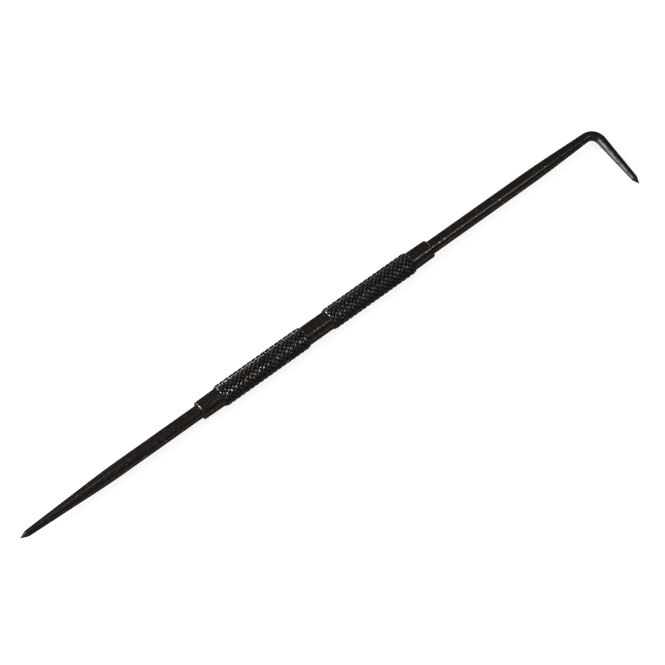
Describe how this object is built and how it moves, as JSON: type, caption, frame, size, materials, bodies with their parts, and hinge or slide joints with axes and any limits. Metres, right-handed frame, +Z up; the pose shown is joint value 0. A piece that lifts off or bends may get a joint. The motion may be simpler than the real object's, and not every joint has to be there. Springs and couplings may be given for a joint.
{
  "type": "double ended scriber",
  "caption": "Slim blackened steel marking tool with diamond knurled grips, a straight ground point at one end and a point bent to a right angle at the other.",
  "frame": {"origin": "on the surface it lies on, below the centre of the whole tool's box", "axes": "+X along the bar from the bent end to the straight point, +Z up from the surface, the bent point reaches towards +Y"},
  "size_m": [0.25, 0.0288, 0.0081],
  "materials": {
    "blackened_steel": "chemically blackened and oiled tool steel, satin, with bright wear on the tips of the knurl, on edges and on the ground points"
  },
  "bodies": {
    "root": {"scriber": "blackened_steel"}
  },
  "joints": []
}
